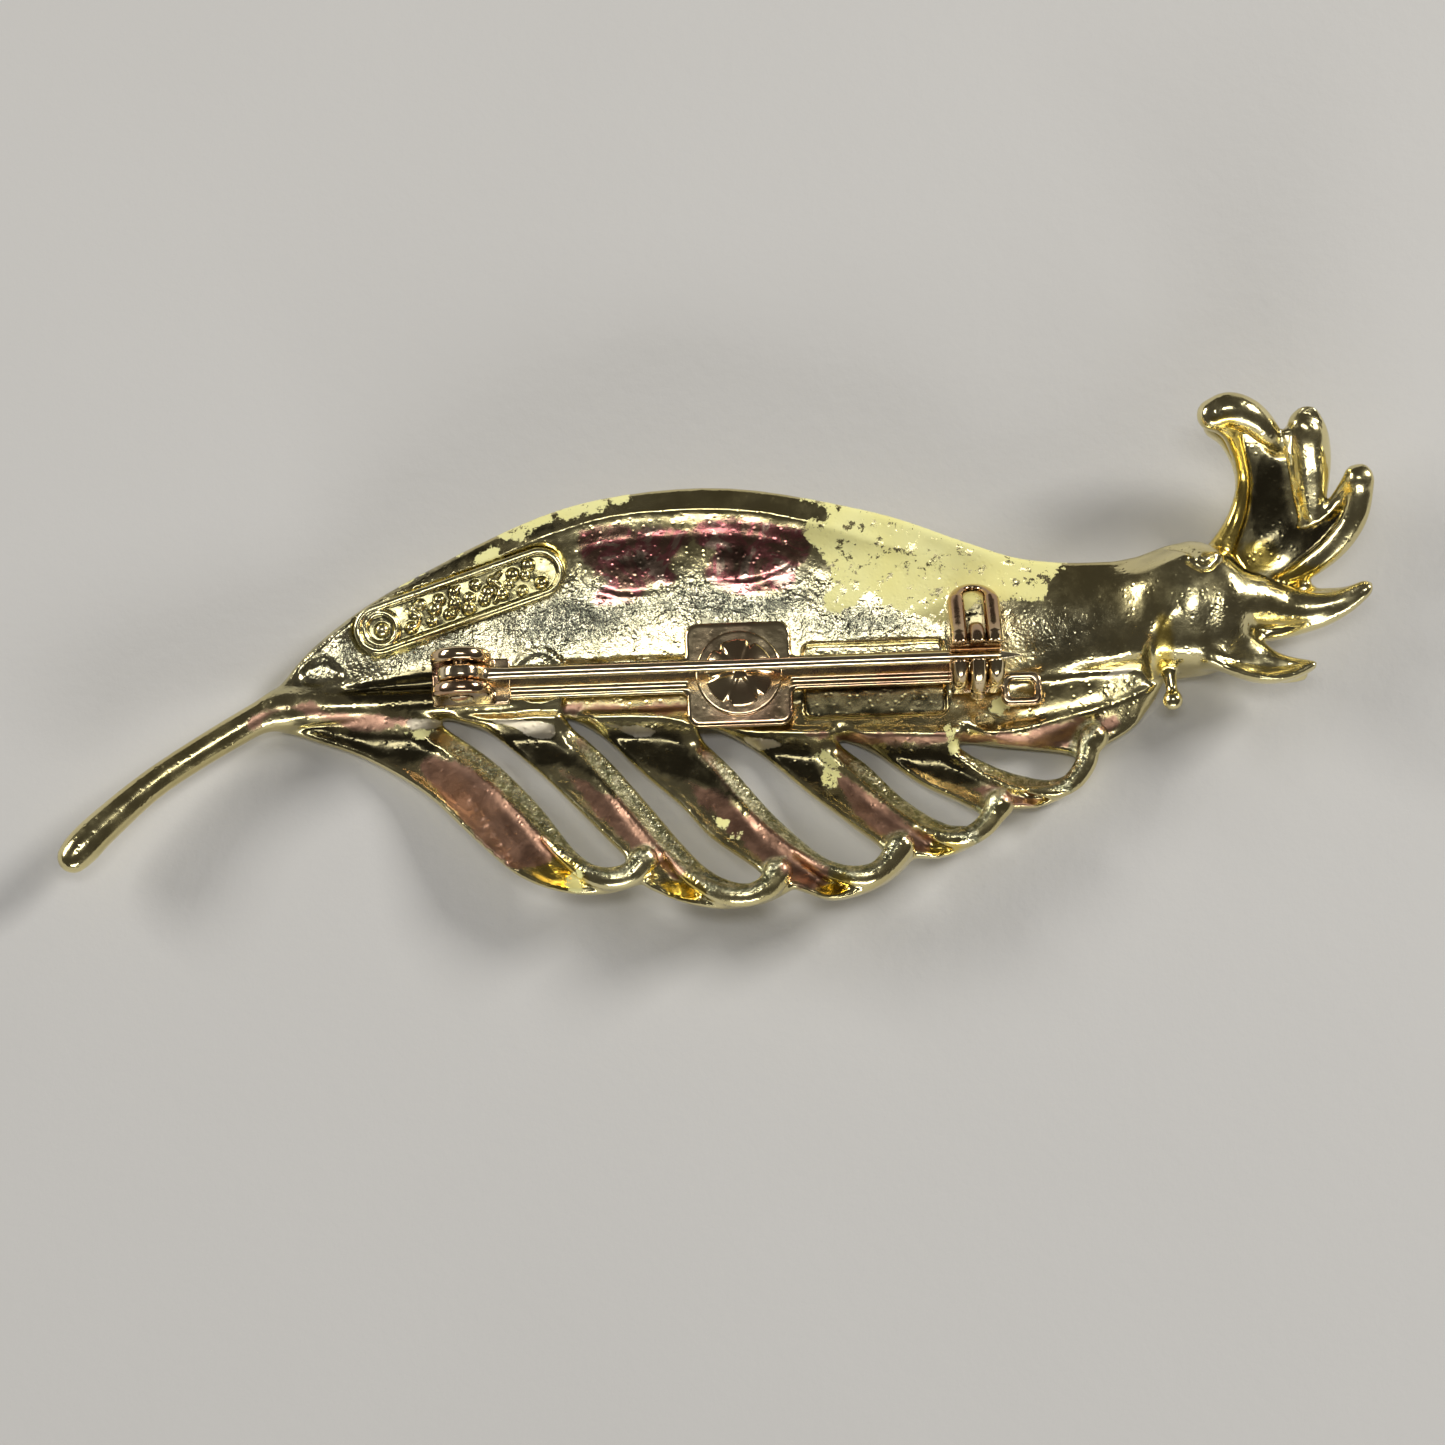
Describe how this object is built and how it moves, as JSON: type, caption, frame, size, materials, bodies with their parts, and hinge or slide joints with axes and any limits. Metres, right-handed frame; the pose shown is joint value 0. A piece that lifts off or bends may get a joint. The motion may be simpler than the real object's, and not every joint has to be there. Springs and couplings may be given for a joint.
{
  "type": "feather brooch",
  "caption": "Cast feather brooch, back side up, with openwork ribs, a curled petal crown and a riveted bar pin-back with a hinged pin and a turning safety catch.",
  "frame": {"origin": "middle of the footprint, on the surface that the brooch lies on with its front down", "axes": "+X from the quill to the crown, +Y towards the smooth upper edge, +Z out of the back, where the pin is"},
  "size_m": [0.0722, 0.0282, 0.008],
  "materials": {
    "cast_gold": "bright gold plate over a cast alloy, flaking to a matt pale yellow in places",
    "tag_gold": "bright gold plate with a grained field",
    "finding_gold": "polished gold plate",
    "pin_wire": "drawn and plated wire"
  },
  "bodies": {
    "brooch": {"feather_casting": "cast_gold", "signature_tag": "tag_gold", "pin_bar": "finding_gold", "rivet_washer": "finding_gold", "centre_rivet": "finding_gold", "hinge_knuckle": "finding_gold", "hinge_rivet": "pin_wire", "catch_housing": "finding_gold"},
    "pin": {"pin_stem": "pin_wire"},
    "lever": {"catch_lever": "finding_gold"}
  },
  "joints": [
    {"name": "pin_hinge", "type": "hinge", "parent": "brooch", "child": "pin", "pos_m": [-0.01398, -0.00132, 0.0049], "axis": [0.0366, -0.9993, 0], "range_deg": [0, 75]},
    {"name": "catch_turn", "type": "hinge", "parent": "brooch", "child": "lever", "pos_m": [0.0142, -0.00028, 0.0049], "axis": [-0.9993, -0.0366, 0], "range_deg": [0, 150]}
  ]
}
